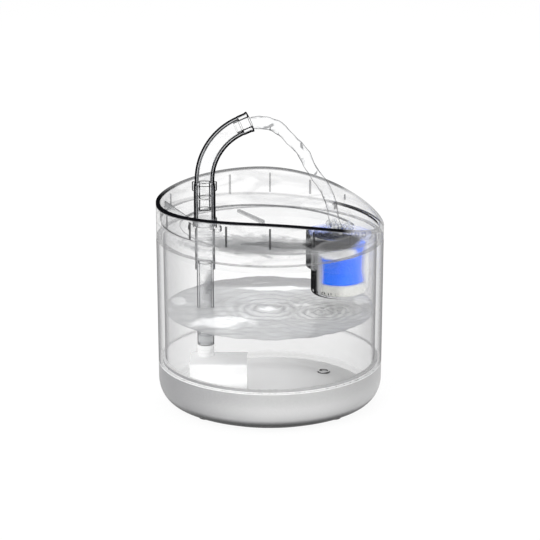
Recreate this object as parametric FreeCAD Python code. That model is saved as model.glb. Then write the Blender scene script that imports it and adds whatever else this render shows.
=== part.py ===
import FreeCAD, Part
import math
import os
from FreeCAD import Vector

os.makedirs("parts", exist_ok=True)

# Millimetres. Z is up, the front is -Y, the spout is on the -X side and the filter on the +X side.
# The origin is on the table, on the bucket's axis.

# Clearances between pieces that move past each other
lift_clearance = 0.4       # tray spigot in the bucket mouth
slide_clearance = 0.3      # cup in its collar, riser in the tray, cover in its recess
turn_clearance = 0.05      # spout plug in its socket, rotor on its shaft
stop_clearance = 0.3       # spout against the socket's stop ears
trim_margin = 10.0         # how far cutting shapes reach past what they cut
merge = 1.0                # how far shapes run into each other before they are joined

# Bucket: a clear wall on a frosted pan
foot_height = 2.0
bucket_radius = 83.0
bucket_height = 122.4      # pan underside to tray seam
bucket_wall_thickness = 5.0
bucket_draft = 0.5         # how much smaller the radius is at the frosted pan
pan_height = 28.7
pan_floor = 3.5
pan_corner_width = 11.1
pan_corner_height = 16.2
pan_groove = 0.4           # bright line where the wall meets the pan
lap_height = 2.5
lap_depth = 2.2
floor_ring_place = (41.0, 38.0)
floor_ring_radius = 4.8
floor_ring_wall = 1.4
floor_ring_height = 1.2

# Rubber foot ring with four pads
foot_ring_radius = 68.0
foot_ring_width = 6.0
foot_seat_depth = 0.6
foot_pad_radius = 5.5

# Tray
tray_wall = 2.8
tray_floor = 2.4
floor_rise = 4.4           # floor above the seam, on the axis
floor_tilt = 3.0           # degrees, downhill to the filter
floor_margin = 14.7        # flat floor to the wall's inside
floor_step = 1.2
cove_width = 19.5
cove_height = 12.0
spigot_depth = 6.0
spigot_wall = 2.4
rim_peak_x = -12.0
rim_peak_height = 31.3
rim_left_radius = 490.0
rim_right_radius = 215.0
flute_count = 16
flute_width = 1.4
flute_depth = 0.8
flute_gap = 4.0            # bare rim above each flute
flute_foot = 3.5           # flute above the floor
flute_least = 5.0          # a shorter flute is left out
gusset_angle = 165.0
gusset_height = 21.0
gusset_length = 19.0
gusset_thickness = 1.4
floor_rib_ends = ((-23.6, 42.9), (-4.8, 11.7))
floor_rib_width = 2.2
floor_rib_height = 2.4
tab_angle = 200.0
tab_width = 7.0
tab_height = 14.0
tab_thickness = 2.5

# Water path at the spout
spout_margin = 18.0        # spout axis to the edge of the flat floor
down_socket_wall = 0.85
down_socket_depth = 25.4
boss_wall = 1.0
boss_height = 13.0
boss_rib_reach = 3.0
socket_radius = 7.9
socket_wall = 1.6
socket_seat = 7.5          # height of the shoulder that the socket tube stands on
socket_top = 38.5
ear_angle = 70.0           # each side of the front
ear_width = 2.4
ear_rise = 2.5
ear_drop = 4.0
ear_reach = 1.3
spout_radius = 7.2
spout_bore = 5.4
spout_bend_radius = 44.5
spout_bend_start = 41.3
spout_bend_angle = 66.0
plug_bore = 4.2
plug_length = 18.5
lug_width = 2.6
seal_thickness = 0.84
seal_height = 8.5          # seal above the plug's end
nozzle_radius = 7.4
nozzle_length = 7.5
nozzle_bore = 4.2
nozzle_lip = 0.35
nozzle_spigot_length = 4.0
nozzle_spigot_clearance = 0.3

# Riser tube and pump outlet
riser_radius = 6.15
riser_bore = 4.65
riser_overlap = 5.0        # length inside the tray's downward socket
outlet_collar_height = 8.6
outlet_spigot_length = 10.0
outlet_bore = 3.2
outlet_seat_radius = 5.0
outlet_seat_depth = 3.0
outlet_groove = 0.5
push_fit = 0.1

# Filter
collar_depth = 22.2
collar_wall = 3.2
collar_margin = 1.5        # collar inside the spigot's outer face
cup_radius = 21.2
cup_wall = 1.6
cup_floor = 1.6
cup_corner = 3.0
cup_inner_corner = 1.5
cup_depth = 43.4           # underside below the seam
cup_top_depth = 4.0
cup_bead = 0.2
cup_bead_depth = 8.0
cup_bead_height = 1.2
cup_hole_radius = 1.1
cup_hole_ring_radii = (5.0, 10.0, 15.0)
cup_hole_spacing = 5.4
cup_side_holes = 24
well_radius = 20.0
media_clearance = 0.2
foam_top_depth = 5.0
foam_height = 28.2
cover_radius = 23.3
cover_seat_depth = 1.2
cover_rise = 0.7
cover_slot_rings = ((7.0, 9.0), (12.0, 14.0), (17.0, 19.0))
cover_spoke_width = 2.6
cover_bar_length = 7.0
cover_bar_width = 2.0
cover_bar_height = 3.8

# Pump
pump_y = -8.0              # rotor axis
pump_z = 20.2
pump_face_offset = 5.5     # impeller cover's joint to the outlet's axis
pump_length = 36.1
pump_depth = 31.0
pump_height = 24.4
pump_edge = 2.0
cup_foot_height = 2.5
chamber_radius = 9.4
chamber_length = 7.5
well_bore = 7.4
well_length = 14.0
bush_radius = 2.0
bush_length = 1.6
bush_seat_wall = 1.2
shaft_radius = 1.0
shaft_end_gap = 0.2
impeller_radius = 8.4
impeller_gap = 0.4         # each end of the impeller, in its chamber
impeller_disc = 1.2
vane_count = 6
vane_thickness = 1.2
vane_gap = 0.8
sleeve_radius = 3.0
magnet_radius = 6.4
magnet_length = 9.8
magnet_gap = 1.7           # magnet behind the chamber
rotor_end_gap = 0.5
seal_ring_radius = 10.6
seal_ring_thickness = 1.0
seal_groove_wall = 0.2
bulge_radius = 7.0
bulge_offset = 4.5         # bulge axis behind the front face
bulge_start = 5.3
front_slot_count = 4
front_slot_width = 3.0
front_slot_height = 5.0
front_slot_depth = 1.0
cavity_gap = 0.9           # wall between rotor well and stator
core_width = 26.2
core_leg = 4.1
core_height = 12.0
core_leg_length = 15.3
yoke_thickness = 5.0
bobbin_wall = 0.9
bobbin_flange = 0.8
bobbin_flange_reach = 1.8
bobbin_end_gap = 0.1
coil_thickness = 1.6
potting_above = 3.8        # potting over and under the core
potting_gap = 0.9          # potting between the coil and the rotor well
back_cover_thickness = 1.2
gland_offset = 23.5        # gland to the outlet's axis
gland_z = 24.0
gland_radius = 2.6
gland_bore = 1.5
gland_flange = 1.2
gland_length = 5.0
stud_radius = 1.6
stud_height = 1.2
suction_radius = 4.5
suction_neck = 2.2
suction_hollow = 1.0
suction_inset = 4.0

# Impeller cover, intake cap and sponge
cover_plate_thickness = 2.5
cover_plate_inset = 2.0
inlet_radius = 5.2
spider_arm_count = 3
spider_width = 1.4
spider_thickness = 1.5
cap_length = 5.8
cap_wall = 1.3
cap_slot_count = 6
cap_slot_width = 2.0
cap_slot_height = 15.0
cap_slot_pitch = 4.2
nub_size = (1.2, 4.0, 3.0)
nub_below_top = 4.0
sponge_thickness = 1.6
sponge_gap = 0.3


def cylinder(radius, low, high, x=0.0, y=0.0):
    return Part.makeCylinder(radius, high - low, Vector(x, y, low))


def tube(outer, inner, low, high, x=0.0, y=0.0):
    return cylinder(outer, low, high, x, y).cut(cylinder(inner, low, high, x, y))


def rod(radius, start, end, y=None, z=None):
    """A cylinder along X, on the rotor axis unless told otherwise."""
    y = pump_y if y is None else y
    z = pump_z if z is None else z
    return Part.makeCylinder(radius, end - start, Vector(start, y, z), Vector(1, 0, 0))


def sleeve(outer, inner, start, end):
    return rod(outer, start, end).cut(rod(inner, start, end))


def block(x0, x1, y0, y1, z0, z1):
    return Part.makeBox(x1 - x0, y1 - y0, z1 - z0, Vector(x0, y0, z0))


def rounded_block(x0, x1, y0, y1, z0, z1, radius):
    """A block with its edges along X rounded."""
    solid = block(x0, x1, y0, y1, z0, z1)
    long_edges = [e for e in solid.Edges if abs(e.tangentAt(e.FirstParameter).x) > 0.9]
    return solid.makeFillet(radius, long_edges)


def turned(start, *steps, x=0.0, y=0.0):
    """Turns a section of (radius, height) points about a vertical axis.

    A step of two points is a quarter oval: its square corner, then its end.
    """
    edges = []
    here = Vector(start[0], 0, start[1])
    for step in steps + (start,):
        if isinstance(step[0], tuple):
            corner = Vector(step[0][0], 0, step[0][1])
            there = Vector(step[1][0], 0, step[1][1])
            oval = Part.BezierCurve()
            oval.setPoles([here, corner, there])
            oval.setWeight(2, math.sqrt(0.5))
            edges.append(oval.toShape())
        else:
            there = Vector(step[0], 0, step[1])
            edges.append(Part.makeLine(here, there))
        here = there
    solid = Part.Face(Part.Wire(edges)).revolve(Vector(0, 0, 0), Vector(0, 0, 1), 360)
    solid.translate(Vector(x, y, 0))
    return solid


def spun(solid, angle, x=0.0, y=0.0):
    copy = solid.copy()
    copy.rotate(Vector(x, y, 0), Vector(0, 0, 1), angle)
    return copy


def joined(solids):
    first, *rest = solids
    return first.fuse(rest).removeSplitter() if rest else first


# Bucket
seam = foot_height + bucket_height
pan_line = foot_height + pan_height
pan_radius = bucket_radius - bucket_draft
pan_inner = pan_radius - bucket_wall_thickness
pan_flat = pan_radius - pan_corner_width
pan_top = foot_height + pan_floor
corner_top = foot_height + pan_corner_height
lap_radius = pan_inner + lap_depth
mouth_radius = bucket_radius - bucket_wall_thickness

bucket_wall = turned(
    (pan_radius, pan_line), (bucket_radius, seam), (mouth_radius, seam),
    (pan_inner, pan_line + lap_height), (lap_radius, pan_line + lap_height), (lap_radius, pan_line))

pan_shell = turned(
    (0, foot_height), (pan_flat, foot_height), ((pan_radius, foot_height), (pan_radius, corner_top)),
    (pan_radius, pan_line - pan_groove), (pan_radius - pan_groove, pan_line), (lap_radius, pan_line),
    (lap_radius, pan_line + lap_height), (pan_inner, pan_line + lap_height), (pan_inner, corner_top),
    ((pan_inner, pan_top), (pan_flat, pan_top)), (0, pan_top))
ring_x, ring_y = floor_ring_place
floor_ring = tube(floor_ring_radius, floor_ring_radius - floor_ring_wall,
                  pan_top - 0.5, pan_top + floor_ring_height, ring_x, ring_y)


def foot_solid(low, high):
    middle = foot_ring_radius - foot_ring_width / 2
    ring = tube(foot_ring_radius, foot_ring_radius - foot_ring_width, low, high)
    pads = [spun(cylinder(foot_pad_radius, low, high, middle), angle) for angle in (45, 135, 225, 315)]
    return joined([ring] + pads)


foot_ring = foot_solid(0, foot_height + foot_seat_depth)
bucket_pan = pan_shell.fuse(floor_ring).cut(foot_solid(foot_height - 1, foot_height + foot_seat_depth))


# Tray
tray_inner = bucket_radius - tray_wall
floor_radius = tray_inner - floor_margin
spout_x = spout_margin - floor_radius
spigot_radius = mouth_radius - lift_clearance
spigot_inner = spigot_radius - spigot_wall
floor_height = seam + floor_rise
collar_bore = cup_radius + slide_clearance + cup_bead
collar_radius = collar_bore + collar_wall
filter_x = spigot_radius - collar_margin - collar_radius
down_socket_bore = riser_radius + slide_clearance
down_socket_radius = down_socket_bore + down_socket_wall
boss_radius = socket_radius + boss_wall
above = seam + rim_peak_height + trim_margin
cove_top = floor_height + floor_step + cove_height


def rim_height(x):
    radius = rim_left_radius if x < rim_peak_x else rim_right_radius
    return rim_peak_height - radius + math.sqrt(radius ** 2 - (x - rim_peak_x) ** 2)


def floor_at(x):
    return floor_height - x * math.tan(math.radians(floor_tilt))


def tilted(solid):
    copy = solid.copy()
    copy.rotate(Vector(0, 0, floor_height), Vector(0, 1, 0), floor_tilt)
    return copy


def bowl(drop, step, cove_start, cove_end):
    """The tray's inside on its tilted floor: a flat, a step up and a quarter-oval cove."""
    base = floor_height - drop
    top = above + trim_margin
    steps = [(cove_start, base)]
    if step:
        steps.append((cove_start, base + step))
    steps += [((cove_end, base + step), (cove_end, cove_top)), (cove_end, top), (0, top)]
    return tilted(turned((0, base), *steps))


def rim_cutter():
    """Everything over the rim's curve, which is the same at the front and the back."""
    reach = bucket_radius + 5

    def at(x):
        return Vector(x, -reach, seam + rim_height(x))

    left = Part.Arc(at(-reach), at((rim_peak_x - reach) / 2), at(rim_peak_x)).toShape()
    right = Part.Arc(at(rim_peak_x), at((rim_peak_x + reach) / 2), at(reach)).toShape()
    high_right = Vector(reach, -reach, above + trim_margin)
    high_left = Vector(-reach, -reach, above + trim_margin)
    wire = Part.Wire([left, right, Part.makeLine(at(reach), high_right),
                      Part.makeLine(high_right, high_left), Part.makeLine(high_left, at(-reach))])
    return Part.Face(wire).extrude(Vector(0, 2 * reach, 0))


bowl_space = bowl(0, floor_step, floor_radius, floor_radius + cove_width)
bowl_shell = bowl(tray_floor, 0, floor_radius + tray_floor, floor_radius + cove_width + tray_floor)
upper_space = bowl_space.common(cylinder(tray_inner, seam - trim_margin, above + trim_margin))
lower_space = cylinder(spigot_inner, seam - spigot_depth, above).cut(bowl_shell)

spigot = cylinder(spigot_radius, seam - spigot_depth, seam + merge)
tray_body = cylinder(bucket_radius, seam, above).fuse(spigot)
tray_body = tray_body.cut(lower_space)
collar_core = cylinder(collar_radius, seam - collar_depth, floor_height, filter_x)
down_core = cylinder(down_socket_radius, seam - down_socket_depth, floor_at(spout_x), spout_x)
tray_body = tray_body.fuse([collar_core, down_core]).cut(upper_space)

additions = []
for k in range(flute_count):
    angle = 360.0 * k / flute_count
    x = tray_inner * math.cos(math.radians(angle))
    low = floor_at(x) + flute_foot
    high = seam + rim_height(x) - flute_gap
    if high - low > flute_least:
        flute = block(tray_inner - flute_depth, tray_inner + merge, -flute_width / 2, flute_width / 2,
                      low, high)
        additions.append(spun(flute, angle))

gusset_low = floor_at(-tray_inner)
gusset_tip = tray_inner - gusset_length
gusset_points = [Vector(tray_inner + merge, 0, gusset_low - flute_foot),
                 Vector(tray_inner + merge, 0, seam + gusset_height),
                 Vector(gusset_tip, 0, gusset_low), Vector(gusset_tip, 0, gusset_low - flute_foot)]
gusset = Part.Face(Part.makePolygon(gusset_points + gusset_points[:1])).extrude(Vector(0, gusset_thickness, 0))
gusset.translate(Vector(0, -gusset_thickness / 2, 0))
tray_gusset = spun(gusset, gusset_angle).common(upper_space)

(rib_x0, rib_y0), (rib_x1, rib_y1) = floor_rib_ends
rib_length = math.hypot(rib_x1 - rib_x0, rib_y1 - rib_y0)
rib_angle = math.degrees(math.atan2(rib_y1 - rib_y0, rib_x1 - rib_x0))
floor_rib = block(0, rib_length, -floor_rib_width / 2, floor_rib_width / 2,
                  floor_at(rib_x1) - merge, floor_at(rib_x0) + floor_rib_height)
floor_rib.rotate(Vector(0, 0, 0), Vector(0, 0, 1), rib_angle)
floor_rib.translate(Vector(rib_x0, rib_y0, 0))
additions.append(floor_rib)

tab = block(spigot_inner - tab_thickness, spigot_inner + merge, -tab_width / 2, tab_width / 2,
            seam - spigot_depth, seam - spigot_depth + tab_height)
additions.append(spun(tab, tab_angle))

additions.append(cylinder(boss_radius, floor_at(spout_x) - merge, seam + boss_height, spout_x))
for angle in (60, 180, 300):
    boss_rib = block(spout_x, spout_x + boss_radius + boss_rib_reach, -flute_width / 2, flute_width / 2,
                     floor_at(spout_x) - merge, seam + boss_height - 2 * merge)
    additions.append(spun(boss_rib, angle, spout_x))

tray_body = tray_body.fuse(additions)
holes = [
    cylinder(down_socket_bore, seam - down_socket_depth, seam + socket_seat, spout_x),
    cylinder(socket_radius, seam + socket_seat, seam + boss_height, spout_x),
    cylinder(collar_bore, seam - collar_depth, seam - cup_top_depth + slide_clearance, filter_x),
    cylinder(collar_bore + cup_bead + slide_clearance, seam - cup_bead_depth - cup_bead_height,
             seam - cup_bead_depth + cup_bead_height, filter_x),
    cylinder(well_radius, seam - cup_top_depth, floor_height + 5, filter_x),
    tilted(cylinder(cover_radius + slide_clearance, floor_height - cover_seat_depth, above, filter_x)),
    rim_cutter(),
]
tray = tray_body.cut(holes).removeSplitter()

# The tray is one moulding. It is kept as simple pieces that meet face to face.
wall_core = cylinder(tray_inner - flute_depth, seam - spigot_depth, above)
down_zone = cylinder(boss_radius + boss_rib_reach + lift_clearance, seam - down_socket_depth, above, spout_x)
collar_zone = cylinder(collar_radius, seam - collar_depth, cove_top, filter_x)
tray_wall = tray.cut(wall_core.fuse([down_zone, collar_zone]))
down_socket = tray.common(down_zone)
filter_collar = tray.common(collar_zone)
tray_floor_dish = tray.common(wall_core).cut([down_zone, collar_zone])


def cover_solid():
    low = floor_height - cover_seat_depth
    high = floor_height + cover_rise
    disc = cylinder(cover_radius, low, high, filter_x)
    slots = joined([tube(outer, inner, low, high, filter_x) for inner, outer in cover_slot_rings])
    spokes = [spun(block(filter_x - cover_radius, filter_x + cover_radius, -cover_spoke_width / 2,
                         cover_spoke_width / 2, low, high), angle, filter_x) for angle in (0, 60, 120)]
    bar = block(filter_x - cover_bar_length / 2, filter_x + cover_bar_length / 2, -cover_bar_width / 2,
                cover_bar_width / 2, low, high + cover_bar_height)
    return disc.cut(slots.cut(spokes)).fuse(bar).removeSplitter()


drain_cover = tilted(cover_solid())


# Spout
socket_bore = socket_radius - socket_wall
plug_radius = socket_bore - turn_clearance
spout_seat = seam + socket_top
ear_low = spout_seat - ear_drop
ear_high = spout_seat + ear_rise

ears = []
for angle in (-90 - ear_angle, -90 + ear_angle):
    ear = block(spout_x + socket_bore + 0.4, spout_x + socket_radius + ear_reach, -ear_width / 2, ear_width / 2,
                ear_low, ear_high)
    ear = ear.cut(cylinder(spout_radius + stop_clearance, spout_seat, ear_high, spout_x))
    ears.append(spun(ear, angle, spout_x))
spout_socket = tube(socket_radius, socket_bore, seam + socket_seat, spout_seat, spout_x)
spout_socket = spout_socket.fuse(ears).removeSplitter()

bend_low = seam + spout_bend_start
bend_x = spout_x + spout_bend_radius


def on_bend(angle):
    turn = math.radians(angle)
    return Vector(bend_x - spout_bend_radius * math.cos(turn), 0,
                  bend_low + spout_bend_radius * math.sin(turn))


def swept(radius, low):
    line = Part.makeLine(Vector(spout_x, 0, low), Vector(spout_x, 0, bend_low))
    arc = Part.Arc(on_bend(0), on_bend(spout_bend_angle / 2), on_bend(spout_bend_angle)).toShape()
    ring = Part.Wire(Part.makeCircle(radius, Vector(spout_x, 0, low), Vector(0, 0, 1)))
    return Part.Wire([line, arc]).makePipeShell([ring], True, False)


bend_end = on_bend(spout_bend_angle)
mouth_turn = math.radians(90 - spout_bend_angle)
mouth_way = Vector(math.cos(mouth_turn), 0, math.sin(mouth_turn))


def along_mouth(radius, start, end):
    return Part.makeCylinder(radius, end - start, bend_end + mouth_way * start, mouth_way)


plug_low = spout_seat - plug_length
seal_mid = plug_low + seal_height
seal_groove = plug_radius - seal_thickness
spout_lug = block(spout_x + spout_radius - 0.8, spout_x + socket_radius + ear_reach, -lug_width / 2,
                  lug_width / 2, spout_seat + stop_clearance, ear_high)
spout_tube = swept(spout_radius, spout_seat).fuse([
    cylinder(plug_radius, plug_low, spout_seat + 1, spout_x), spun(spout_lug, -90, spout_x)])
spout_tube = spout_tube.cut([
    swept(spout_bore, spout_seat + 1.5), cylinder(plug_bore, plug_low, spout_seat + 2, spout_x),
    tube(plug_radius + 1, seal_groove, seal_mid - seal_thickness / 2, seal_mid + seal_thickness / 2, spout_x)])
spout_tube = spout_tube.removeSplitter()

spout_seal = Part.makeTorus(plug_radius - seal_thickness / 2, seal_thickness / 2, Vector(spout_x, 0, seal_mid))

spout_nozzle = along_mouth(nozzle_radius, 0, nozzle_length).fuse([
    along_mouth(spout_bore - nozzle_spigot_clearance, -nozzle_spigot_length, 1),
    along_mouth(nozzle_radius + nozzle_lip, nozzle_length - 1.4, nozzle_length)])
spout_nozzle = spout_nozzle.cut(along_mouth(nozzle_bore, -nozzle_spigot_length, nozzle_length)).removeSplitter()


# Filter
cup_low = seam - cup_depth
cup_high = seam - cup_top_depth
cup_inner = cup_radius - cup_wall
cup_bed = cup_low + cup_floor
bead_mid = seam - cup_bead_depth
cup_shell = turned(
    (0, cup_low), (cup_radius - cup_corner, cup_low),
    ((cup_radius, cup_low), (cup_radius, cup_low + cup_corner)),
    (cup_radius, bead_mid - cup_bead_height / 2), (cup_radius + cup_bead, bead_mid),
    (cup_radius, bead_mid + cup_bead_height / 2), (cup_radius, cup_high), (cup_inner, cup_high),
    (cup_inner, cup_bed + cup_inner_corner), ((cup_inner, cup_bed), (cup_inner - cup_inner_corner, cup_bed)),
    (0, cup_bed), x=filter_x)
cup_holes = []
for ring_radius in cup_hole_ring_radii:
    count = round(2 * math.pi * ring_radius / cup_hole_spacing)
    for k in range(count):
        turn = 2 * math.pi * k / count
        cup_holes.append(cylinder(cup_hole_radius, cup_low - 1, cup_bed + 1,
                                  filter_x + ring_radius * math.cos(turn), ring_radius * math.sin(turn)))
for k in range(cup_side_holes):
    turn = 2 * math.pi * (k + 0.5) / cup_side_holes
    way = Vector(math.cos(turn), math.sin(turn), 0)
    start = Vector(filter_x, 0, cup_low + cup_corner + cup_hole_radius) + way * (cup_inner - 1)
    cup_holes.append(Part.makeCylinder(cup_hole_radius, cup_wall + 2, start, way))
filter_cup = cup_shell.cut(cup_holes)

media_radius = cup_inner - media_clearance
foam_high = seam - foam_top_depth
foam_low = foam_high - foam_height
blue_foam = cylinder(media_radius, foam_low, foam_high, filter_x)
white_pad = turned((0, cup_bed), (media_radius - cup_inner_corner, cup_bed),
                   (media_radius, cup_bed + cup_inner_corner), (media_radius, foam_low),
                   (0, foam_low), x=filter_x)


# Pump
pump_low = pan_top + cup_foot_height
pump_high = pump_low + pump_height
pump_front = pump_y - pump_depth / 2
pump_back = pump_y + pump_depth / 2
pump_face_x = spout_x - pump_face_offset
gland_x = spout_x + gland_offset
pump_end = pump_face_x + pump_length
chamber_end = pump_face_x + chamber_length
well_end = chamber_end + well_length
cavity_start = well_end + cavity_gap
core_low = pump_z - 0.6 - core_height / 2
core_high = core_low + core_height
core_front = pump_y - core_width / 2
core_back = pump_y + core_width / 2
yoke_start = cavity_start + potting_gap + coil_thickness + bobbin_wall
yoke_end = yoke_start + yoke_thickness
back_cover_start = pump_end - back_cover_thickness
outlet_floor = pump_high - outlet_seat_depth
collar_high = pump_high + outlet_collar_height


def cavity_block(x0, x1):
    return block(x0, x1, core_front, core_back, core_low - potting_above, core_high + potting_above)


leg_start = yoke_start - core_leg_length
core_legs = [block(leg_start, yoke_start, core_front, core_front + core_leg, core_low, core_high),
             block(leg_start, yoke_start, core_back - core_leg, core_back, core_low, core_high)]
stator_core = joined([block(yoke_start, yoke_end, core_front, core_back, core_low, core_high)] + core_legs)

foot_places = [(x, y) for x in (pump_face_x + suction_inset, pump_end - suction_inset)
               for y in (pump_front + suction_inset, pump_back - suction_inset)]
studs = [cylinder(stud_radius, pump_low, pump_low + stud_height, x, y) for x, y in foot_places]
bush_seat = sleeve(bush_radius + bush_seat_wall, bush_radius, well_end - bush_length, well_end)
front_slots = []
slot_span = (pump_end - pump_face_x - bulge_start) / front_slot_count
for k in range(front_slot_count):
    slot_x = pump_face_x + bulge_start + slot_span * (k + 0.5)
    front_slots.append(block(slot_x - front_slot_width / 2, slot_x + front_slot_width / 2, pump_front - 1,
                             pump_front + front_slot_depth, pump_low, pump_low + front_slot_height))
gland_hole = Part.makeCylinder(gland_radius, pump_back - core_back + merge,
                               Vector(gland_x, core_back - merge / 2, gland_z),
                               Vector(0, 1, 0))

pump_housing = rounded_block(pump_face_x, pump_end, pump_front, pump_back, pump_low, pump_high, pump_edge)
pump_housing = pump_housing.fuse(
    rod(bulge_radius, pump_face_x + bulge_start, pump_end, pump_front + bulge_offset, pump_z - 0.7))
pump_housing = pump_housing.cut(
    [rod(chamber_radius, pump_face_x, chamber_end), rod(well_bore, chamber_end, well_end),
     cavity_block(cavity_start, pump_end),
     sleeve(seal_ring_radius + seal_ring_thickness / 2 + seal_groove_wall,
            seal_ring_radius - seal_ring_thickness / 2 - seal_groove_wall,
            pump_face_x, pump_face_x + seal_ring_thickness),
     cylinder(outlet_bore, pump_z, pump_high, spout_x),
     cylinder(outlet_seat_radius, outlet_floor, pump_high, spout_x),
     gland_hole] + core_legs + studs + front_slots)
pump_housing = pump_housing.fuse(bush_seat)

bobbin_y0 = core_front + core_leg + bobbin_end_gap
bobbin_y1 = core_back - core_leg - bobbin_end_gap


def around_yoke(grow, y0, y1):
    return block(yoke_start - grow, yoke_end + grow, y0, y1, core_low - grow, core_high + grow)


coil_y0 = bobbin_y0 + bobbin_flange
coil_y1 = bobbin_y1 - bobbin_flange
yoke_bar = around_yoke(0, bobbin_y0, bobbin_y1)
bobbin_tube = around_yoke(bobbin_wall, bobbin_y0, bobbin_y1)
flanges = [around_yoke(bobbin_wall + bobbin_flange_reach, bobbin_y0, coil_y0),
           around_yoke(bobbin_wall + bobbin_flange_reach, coil_y1, bobbin_y1)]
coil_bobbin = bobbin_tube.fuse(flanges).cut(yoke_bar).removeSplitter()
stator_coil = around_yoke(bobbin_wall + coil_thickness, coil_y0, coil_y1).cut(bobbin_tube)
potting = cavity_block(cavity_start, back_cover_start).cut([stator_core, coil_bobbin, stator_coil, yoke_bar])
back_cover = cavity_block(back_cover_start, pump_end)

cable_gland = Part.makeCylinder(gland_radius, pump_back - core_back + gland_length,
                                Vector(gland_x, core_back, gland_z), Vector(0, 1, 0))
cable_gland = cable_gland.fuse(Part.makeCylinder(gland_radius + gland_flange, gland_flange,
                                                 Vector(gland_x, pump_back, gland_z), Vector(0, 1, 0)))
cable_gland = cable_gland.cut(Part.makeCylinder(gland_bore, pump_back - core_back + gland_length,
                                                Vector(gland_x, core_back, gland_z), Vector(0, 1, 0)))

suction_cups = []
for x, y in foot_places:
    suction_cups.append(turned(
        (0, pan_top + suction_hollow), (suction_radius - 0.4, pan_top), (suction_radius, pan_top),
        ((suction_neck, pan_top + 0.6), (suction_neck, pump_low)), (stud_radius, pump_low),
        (stud_radius, pump_low + stud_height), (0, pump_low + stud_height), x=x, y=y))
suction_feet = Part.Compound(suction_cups)

front_bush_end = pump_face_x - 0.2
front_bush = sleeve(bush_radius, shaft_radius + turn_clearance, front_bush_end - bush_length, front_bush_end)
rear_bush = sleeve(bush_radius, shaft_radius + turn_clearance, well_end - bush_length, well_end)
shaft_bushes = Part.Compound([front_bush, rear_bush])
rotor_shaft = rod(shaft_radius, front_bush_end - bush_length + shaft_end_gap, well_end - shaft_end_gap)

impeller_start = pump_face_x + impeller_gap
disc_end = chamber_end - impeller_gap
sleeve_end = well_end - bush_length - rotor_end_gap
magnet_start = chamber_end + magnet_gap
vanes = []
for k in range(vane_count):
    vane = block(impeller_start + vane_gap, disc_end, -vane_thickness / 2, vane_thickness / 2,
                 sleeve_radius - 0.4, impeller_radius - 0.2)
    vane.translate(Vector(0, pump_y, pump_z))
    vane.rotate(Vector(0, pump_y, pump_z), Vector(1, 0, 0), 360.0 * k / vane_count)
    vanes.append(vane)
impeller = rod(sleeve_radius, impeller_start, sleeve_end).fuse(
    [rod(impeller_radius, disc_end - impeller_disc, disc_end),
     rod(sleeve_radius + 1.5, disc_end - merge, magnet_start)]
    + vanes)
impeller = impeller.cut(rod(shaft_radius + turn_clearance, impeller_start, sleeve_end)).removeSplitter()
rotor_magnet = sleeve(magnet_radius, sleeve_radius, magnet_start, magnet_start + magnet_length)

pump_seal = Part.makeTorus(seal_ring_radius, seal_ring_thickness / 2,
                           Vector(pump_face_x + seal_ring_thickness / 2, pump_y, pump_z), Vector(1, 0, 0))

plate_start = pump_face_x - cover_plate_thickness
impeller_cover = rounded_block(
    plate_start, pump_face_x, pump_front + cover_plate_inset, pump_back - cover_plate_inset,
    pump_low + cover_plate_inset, pump_high - cover_plate_inset, 2 * pump_edge)
arms = []
for k in range(spider_arm_count):
    arm = block(plate_start, plate_start + spider_thickness, -spider_width / 2, spider_width / 2,
                bush_radius, inlet_radius + 0.5)
    arm.translate(Vector(0, pump_y, pump_z))
    arm.rotate(Vector(0, pump_y, pump_z), Vector(1, 0, 0), 360.0 * k / spider_arm_count)
    arms.append(arm)
impeller_cover = impeller_cover.cut(rod(inlet_radius, plate_start, pump_face_x))
impeller_cover = impeller_cover.fuse([rod(bush_radius + bush_seat_wall, plate_start, front_bush_end)] + arms)
impeller_cover = impeller_cover.cut(rod(bush_radius, front_bush_end - bush_length, front_bush_end))
impeller_cover = impeller_cover.removeSplitter()

cap_start = pump_face_x - cap_length
intake_cap = rounded_block(cap_start, pump_face_x, pump_front, pump_back, pump_low, pump_high, pump_edge)
intake_cap = intake_cap.cut(block(cap_start + cap_wall, pump_face_x,
                                  pump_front + cap_wall, pump_back - cap_wall,
                                  pump_low + cap_wall, pump_high - cap_wall))
cap_slots = []
for k in range(cap_slot_count):
    slot_y = pump_y + cap_slot_pitch * (k - (cap_slot_count - 1) / 2)
    cap_slots.append(block(cap_start, cap_start + cap_wall,
                           slot_y - cap_slot_width / 2, slot_y + cap_slot_width / 2,
                           pump_z - cap_slot_height / 2, pump_z + cap_slot_height / 2))
nub_x, nub_y, nub_z = nub_size
nub_top = pump_high - nub_below_top
cap_nub = block(cap_start - nub_x, cap_start + merge / 2, pump_y - nub_y / 2, pump_y + nub_y / 2,
                nub_top - nub_z, nub_top)
intake_cap = intake_cap.cut(cap_slots).fuse(cap_nub).removeSplitter()
intake_sponge = block(cap_start + cap_wall, cap_start + cap_wall + sponge_thickness,
                      pump_front + cap_wall + sponge_gap, pump_back - cap_wall - sponge_gap,
                      pump_low + cap_wall + sponge_gap, pump_high - cap_wall - sponge_gap)

pump_outlet = cylinder(outlet_seat_radius, outlet_floor, pump_high + 1, spout_x).fuse(
    [cylinder(riser_radius, pump_high, collar_high, spout_x),
     cylinder(riser_bore - push_fit, collar_high - 1, collar_high + outlet_spigot_length, spout_x)])
grooves = [tube(riser_radius + 1, riser_radius - outlet_groove, z, z + 0.8, spout_x)
           for z in (pump_high + 2.5, pump_high + 5.0)]
pump_outlet = pump_outlet.cut(
    grooves + [cylinder(outlet_bore, outlet_floor, collar_high + outlet_spigot_length, spout_x)])
pump_outlet = pump_outlet.removeSplitter()

riser_tube = tube(riser_radius, riser_bore, collar_high, seam - down_socket_depth + riser_overlap, spout_x)


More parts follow.
